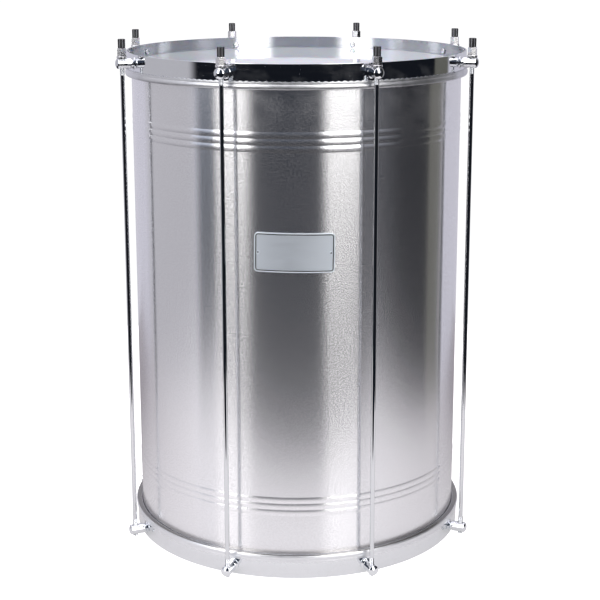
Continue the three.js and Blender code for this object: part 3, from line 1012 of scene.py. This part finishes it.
class SURDO_OT_shell(SurdoPiece, bpy.types.Operator):
    """Add the brushed aluminium shell with its rolled beads"""

    bl_idname = "surdo.add_shell"
    bl_label = "Shell"

    def execute(self, context):
        shell = context.scene.surdo_shell
        top = shell.foot + shell.height
        material = brushed_aluminium(context.scene.surdo_finishes.shell, shell.radius, top)
        add_piece("rolled_shell", shell_form(shell), material, "shell", ["shell"])
        return {"FINISHED"}


class SURDO_OT_name_plate(SurdoPiece, bpy.types.Operator):
    """Add the bare name plate and its two pins"""

    bl_idname = "surdo.add_name_plate"
    bl_label = "Name plate"

    def execute(self, context):
        scene = context.scene
        plate, shell, finishes = scene.surdo_plate, scene.surdo_shell, scene.surdo_finishes
        satin = satin_aluminium(finishes.plate)
        scoured, enamel_and_pin_shade = scoured_aluminium(finishes.plate), stove_enamel_and_pin_shade(finishes.enamel_and_pin_shade)
        form, rim_faces, border_faces = plate_form(plate, shell)
        pressed = add_piece("pressed_plate", form, satin, "shell", ["name_plate"])
        finish_faces(pressed, scoured, lambda face: face.index in rim_faces)
        finish_faces(pressed, enamel_and_pin_shade, lambda face: face.index in border_faces)
        for side, word in ((-1, "left"), (1, "right")):
            node = f"name_plate_pin_{word}"
            pin, hollow = pin_form(plate, shell, side)
            head = add_piece(f"plate_pin_{word}", pin, scoured, "shell", [node])
            # Painted shade: the pin's dimple takes the dark enamel, as the shade in its hollow.
            finish_faces(head, enamel_and_pin_shade, lambda face: face.index in hollow)
        return {"FINISHED"}


class SURDO_OT_heads(SurdoPiece, bpy.types.Operator):
    """Add the two film heads"""

    bl_idname = "surdo.add_heads"
    bl_label = "Heads"

    def execute(self, context):
        scene = context.scene
        material = polyester_film(scene.surdo_finishes.film)
        lower = film_outline(scene.surdo_heads)
        upper = upside_down(lower, drum_height(scene))
        for word, outline in (("resonant", lower), ("batter", upper)):
            film = turned(outline, all_round(180))
            add_piece(f"{word}_film", film, material, "shell", [f"{word}_head"])
        return {"FINISHED"}


class SURDO_OT_flesh_hoops(SurdoPiece, bpy.types.Operator):
    """Add the two crimped flesh hoops that grip the films"""

    bl_idname = "surdo.add_flesh_hoops"
    bl_label = "Flesh hoops"

    def execute(self, context):
        scene = context.scene
        hoops = scene.surdo_hoops
        material = rolled_aluminium(scene.surdo_finishes.flesh_hoop, hoops.flesh_radius)
        upper = flesh_form(hoops, drum_height(scene))
        ledge_shade = ledge_shade_aluminium(scene.surdo_finishes.ledge_shade, hoops.flesh_radius)
        lower = add_piece("lower_channel", flesh_form(hoops), material, "base", ["lower_flesh_hoop"])
        # Painted shade: the up-facing level faces of the lower flesh hoop, chiefly its top beside the shell,
        # are darkened.
        finish_faces(lower, ledge_shade, lambda face: face.normal.z > 0.97)
        add_piece("upper_channel", upper, material, "upper_hoop", ["upper_flesh_hoop"])
        return {"FINISHED"}


class SURDO_OT_hoops(SurdoPiece, bpy.types.Operator):
    """Add the two flat chrome-plated hoops"""

    bl_idname = "surdo.add_hoops"
    bl_label = "Hoops"

    def execute(self, context):
        scene = context.scene
        hoops = scene.surdo_hoops
        chrome = chrome_plate("chrome_plated_band", scene.surdo_finishes.chrome, mm(30, 30, 5))
        linished = linished_plate(scene.surdo_finishes.linished, hoops.radius)
        lower = seamed_band_form(hoops)
        upper = turned(upside_down(band_outline(hoops), drum_height(scene)), all_round(300))
        bands = [
            add_piece("lower_band", lower, chrome, "base", ["lower_hoop"]),
            add_piece("upper_band", upper, chrome, "upper_hoop", ["upper_hoop"]),
        ]
        middle = hoops.radius - hoops.thickness / 2

        def inside(face):
            return face.center.xy.length < middle and face.normal.xy.dot(face.center.xy) < 0

        for band in bands:
            finish_faces(band, linished, inside)
        return {"FINISHED"}


class SURDO_OT_posts(SurdoPiece, bpy.types.Operator):
    """Add the turned posts that carry the rods, with their screws"""

    bl_idname = "surdo.add_posts"
    bl_label = "Posts and screws"

    def execute(self, context):
        scene = context.scene
        s, hoops, finishes = scene.surdo_stations, scene.surdo_hoops, scene.surdo_finishes
        chrome = chrome_plate("chrome_plated_turning", finishes.chrome, mm(3, 3, 3), 0.04, 0.12)
        nickel = nickel_plate(finishes.nickel)
        high = drum_height(scene) - s.post_level
        lower, upper = post_form(s, hoops, s.post_level, 1), post_form(s, hoops, high, -1)
        for number, turn in stations():
            spin = number * math.radians(77)
            ends = (
                ("lower", lower, s.post_level, "base", ()),
                ("upper", upper, high, "upper_hoop", [f"hoop_screw_{number}"]),
            )
            for end, post, level, body, replaced in ends:
                post = placed(post, turn)
                node = f"{end}_post_{number}"
                add_piece(f"{end}_turning_{number}", post, chrome, body, [node])
                screw = placed(screw_form(s, hoops, level, spin), turn)
                add_piece(f"{end}_screw_{number}", screw, nickel, body, replaced)
        return {"FINISHED"}


class SURDO_OT_rods(SurdoPiece, bpy.types.Operator):
    """Add the eight tension rods with their threads"""

    bl_idname = "surdo.add_rods"
    bl_label = "Tension rods"

    def execute(self, context):
        scene = context.scene
        material = zinc_wire(scene.surdo_finishes.wire)
        rod = rod_form(scene.surdo_stations)
        crease = math.radians(60)
        for number, turn in stations():
            name, node = f"threaded_wire_{number}", f"tension_rod_{number}"
            add_piece(name, placed(rod, turn), material, "base", [node], crease)
        return {"FINISHED"}


class SURDO_OT_nuts(SurdoPiece, bpy.types.Operator):
    """Add the tension nuts with their washers"""

    bl_idname = "surdo.add_nuts"
    bl_label = "Tension nuts"

    def execute(self, context):
        scene = context.scene
        s = scene.surdo_stations
        material = nickel_plate(scene.surdo_finishes.nickel)
        nut = nut_form(s)
        for number, turn in stations():
            spin = Matrix.Rotation(math.radians(NUT_TURNS[number - 1]), 4, "Z")
            form = placed(nut, turn @ Matrix.Translation((s.circle, 0, 0)) @ spin)
            name, node = f"hexagon_{number}", f"tension_nut_{number}"
            add_piece(name, form, material, f"nut_{number}", [node])
        return {"FINISHED"}


class SURDO_OT_caps(SurdoPiece, bpy.types.Operator):
    """Add the fluted caps on the ends of the rods"""

    bl_idname = "surdo.add_caps"
    bl_label = "Rod caps"

    def execute(self, context):
        scene = context.scene
        finishes = scene.surdo_finishes
        blasted = moulded_pvc("blasted_pvc", finishes.cap, (0.3, 0.4))
        # Painted highlight: a pale copy of the PVC for the caps' crests.
        crest_highlight = moulded_pvc("crest_highlight_pvc", finishes.crest_highlight, (0.26, 0.34))
        cap = cap_form(scene.surdo_stations)

        def on_crest(face):
            # Painted highlights: the crests between the flutes, the first and last face of each flute, are
            # pale where the lamps would glint on them.
            return face.index % FLUTE_STEPS in (0, FLUTE_STEPS - 1) and abs(face.normal.z) < 0.5

        for number, turn in stations():
            name, node = f"fluted_cap_{number}", f"rod_cap_{number}"
            cover = add_piece(name, placed(cap, turn), blasted, "base", [node])
            finish_faces(cover, crest_highlight, on_crest)
        return {"FINISHED"}


# Stage: table, studio and camera


def add_table(scene):
    """A pale table top, deeper behind the drum than in front of it."""
    left, right, front, back = -0.8, 0.68, -0.59, 0.9
    corners = [(left, front, 0), (right, front, 0), (right, back, 0), (left, back, 0)]
    mesh = mesh_of("table_top", (np.array(corners, float), [(0, 1, 2, 3)]))
    table = bpy.data.objects.new("table_top", mesh)
    scene.collection.objects.link(table)
    stage = scene.surdo_stage
    acrylic = opal_acrylic(scene.surdo_finishes.table, stage.table_glow, stage.table_burn)
    table.data.materials.append(acrylic)
    table.location.z = -mm(0.2)


def lamp_edges(tree, angle, rise, fall):
    """One between a lamp's two soft edges, each (where it starts, where it ends), and zero outside."""
    soft = {"interpolation_type": "SMOOTHSTEP"}
    first = add_node(tree, "ShaderNodeMapRange", between(0, 1, *rise), {"Value": angle}, **soft)
    last = add_node(tree, "ShaderNodeMapRange", between(1, 0, *fall), {"Value": angle}, **soft)
    return add_node(tree, "ShaderNodeMath", links={0: first, 1: last}, operation="MULTIPLY")


def add_studio(scene):
    """The studio as a world: dark blue in front, pale walls behind and on the left, and lamps.

    These are two strips and a top light. The camera sees plain white, as against a paper backdrop."""
    stage = scene.surdo_stage
    world = bpy.data.worlds.new("studio")
    scene.world = world
    world.use_nodes = True
    tree = world.node_tree
    tree.nodes.clear()
    place = add_node(tree, "ShaderNodeTexCoord")
    parts = add_node(tree, "ShaderNodeSeparateXYZ", links={0: (place, "Generated")})
    forward = add_node(tree, "ShaderNodeMath", {1: -1}, {0: (parts, "Y")}, operation="MULTIPLY")
    turn = add_node(tree, "ShaderNodeMath", links={0: (parts, "X"), 1: forward}, operation="ARCTAN2")
    lift = add_node(tree, "ShaderNodeMath", links={0: (parts, "Z")}, operation="ARCSINE")
    way, height = [
        add_node(tree, "ShaderNodeMath", links={0: angle}, operation="DEGREES") for angle in (turn, lift)
    ]
    all_heights = ((-99, -98), (98, 99))
    strip_heights = ((-2, 2), (50, 58))
    wall_heights = ((-32, -14), (98, 99))
    overhead = ((42, 66), (98, 99))
    # Each lamp: its edges round from the front and in height, in degrees, its colour and its brightness.
    lamps = [
        (((-181, -180), (-130, -126)), wall_heights, "#e6e4f0", 0.76),
        (((-130, -126), (-77, -68)), wall_heights, "#dcdae0", 0.7),
        (((-79, -72), (-62, -55)), strip_heights, "#c8d2e6", 0.92),
        (((-61, -54), (-40, -28)), strip_heights, "#fffdfb", stage.strip_strength),
        (((-40, -28), (14, 23)), strip_heights, "#b4ccf4", 0.075),
        (((14, 23.5), (41.5, 45)), strip_heights, "#fffdfb", stage.strip_strength),
        (((42, 46), (50, 80)), strip_heights, "#d8dcea", 0.35),
        (((102, 104), (118, 122)), all_heights, "#b4b2a4", 0.26),
        (((118, 122), (180, 181)), all_heights, "#e6e4f0", 0.72),
        (((-181, -180), (180, 181)), overhead, "#fbf8ff", stage.overhead_strength),
    ]
    dim_room = {"Color": opaque(linear("#363b47")), "Strength": 0.21}
    total = add_node(tree, "ShaderNodeBackground", dim_room)
    for round_edges, height_edges, colour, strength in lamps:
        across = lamp_edges(tree, way, *round_edges)
        up = lamp_edges(tree, height, *height_edges)
        shape = add_node(tree, "ShaderNodeMath", links={0: across, 1: up}, operation="MULTIPLY")
        level = add_node(tree, "ShaderNodeMath", {1: strength}, {0: shape}, operation="MULTIPLY")
        shining = {"Color": opaque(linear(colour))}
        lamp = add_node(tree, "ShaderNodeBackground", shining, {"Strength": level})
        total = add_node(tree, "ShaderNodeAddShader", links={0: total, 1: lamp})
    paper = add_node(tree, "ShaderNodeBackground", {"Color": (1, 1, 1, 1), "Strength": 1.05})
    ray = add_node(tree, "ShaderNodeLightPath")
    sources = {0: (ray, "Is Camera Ray"), 1: total, 2: paper}
    seen = add_node(tree, "ShaderNodeMixShader", links=sources)
    add_node(tree, "ShaderNodeOutputWorld", links={"Surface": seen})


def add_camera(scene):
    """The camera where the photograph was taken from: in front, a little above the drum, looking down."""
    camera = bpy.data.objects.new("camera", bpy.data.cameras.new("camera"))
    scene.collection.objects.link(camera)
    camera.data.lens = scene.surdo_stage.lens
    camera.data.sensor_width = 36  # millimetres
    camera.data.shift_x, camera.data.shift_y = 0.0055, -0.0737
    distance, height = 1.7515, 0.7403
    aside, tilt, roll = [math.radians(angle) for angle in (-0.8, 12.835, -0.1)]
    place = Matrix.Translation((distance * math.sin(aside), -distance * math.cos(aside), height))
    tipped = Matrix.Rotation(QUARTER_TURN - tilt, 4, "X") @ Matrix.Rotation(roll, 4, "Z")
    camera.matrix_world = place @ Matrix.Rotation(aside, 4, "Z") @ tipped
    scene.camera = camera


class SURDO_OT_stage(SurdoPiece, bpy.types.Operator):
    """Add the table, the studio light and the camera"""

    bl_idname = "surdo.add_stage"
    bl_label = "Stage"

    def execute(self, context):
        scene = context.scene
        add_table(scene)
        add_studio(scene)
        add_camera(scene)
        scene.view_settings.view_transform = "Standard"
        return {"FINISHED"}


SETTINGS = {
    "surdo_shell": SurdoShellSizes,
    "surdo_heads": SurdoHeadSizes,
    "surdo_hoops": SurdoHoopSizes,
    "surdo_stations": SurdoStationSizes,
    "surdo_plate": SurdoPlateSizes,
    "surdo_finishes": SurdoFinishes,
    "surdo_stage": SurdoStageSettings,
}
OPERATORS = [
    SURDO_OT_shell,
    SURDO_OT_name_plate,
    SURDO_OT_heads,
    SURDO_OT_flesh_hoops,
    SURDO_OT_hoops,
    SURDO_OT_posts,
    SURDO_OT_rods,
    SURDO_OT_nuts,
    SURDO_OT_caps,
    SURDO_OT_stage,
]


class SURDO_PT_panel(bpy.types.Panel):
    bl_label = "Surdo"
    bl_idname = "SURDO_PT_panel"
    bl_space_type = "VIEW_3D"
    bl_region_type = "UI"
    bl_category = "Surdo"

    def draw(self, context):
        for operator in OPERATORS:
            self.layout.operator(operator.bl_idname)
        for name, settings in SETTINGS.items():
            box = self.layout.box()
            box.label(text=name.replace("_", " ").capitalize())
            for key in settings.__annotations__:
                box.prop(getattr(context.scene, name), key)


def register():
    for settings in SETTINGS.values():
        bpy.utils.register_class(settings)
    for name, settings in SETTINGS.items():
        setattr(bpy.types.Scene, name, PointerProperty(type=settings))
    for operator in OPERATORS:
        bpy.utils.register_class(operator)
    bpy.utils.register_class(SURDO_PT_panel)


def unregister():
    bpy.utils.unregister_class(SURDO_PT_panel)
    for operator in reversed(OPERATORS):
        bpy.utils.unregister_class(operator)
    for name, settings in SETTINGS.items():
        delattr(bpy.types.Scene, name)
        bpy.utils.unregister_class(settings)


def main():
    register()
    for operator in OPERATORS:
        group, name = operator.bl_idname.split(".")
        getattr(getattr(bpy.ops, group), name)()


if __name__ == "__main__":
    main()
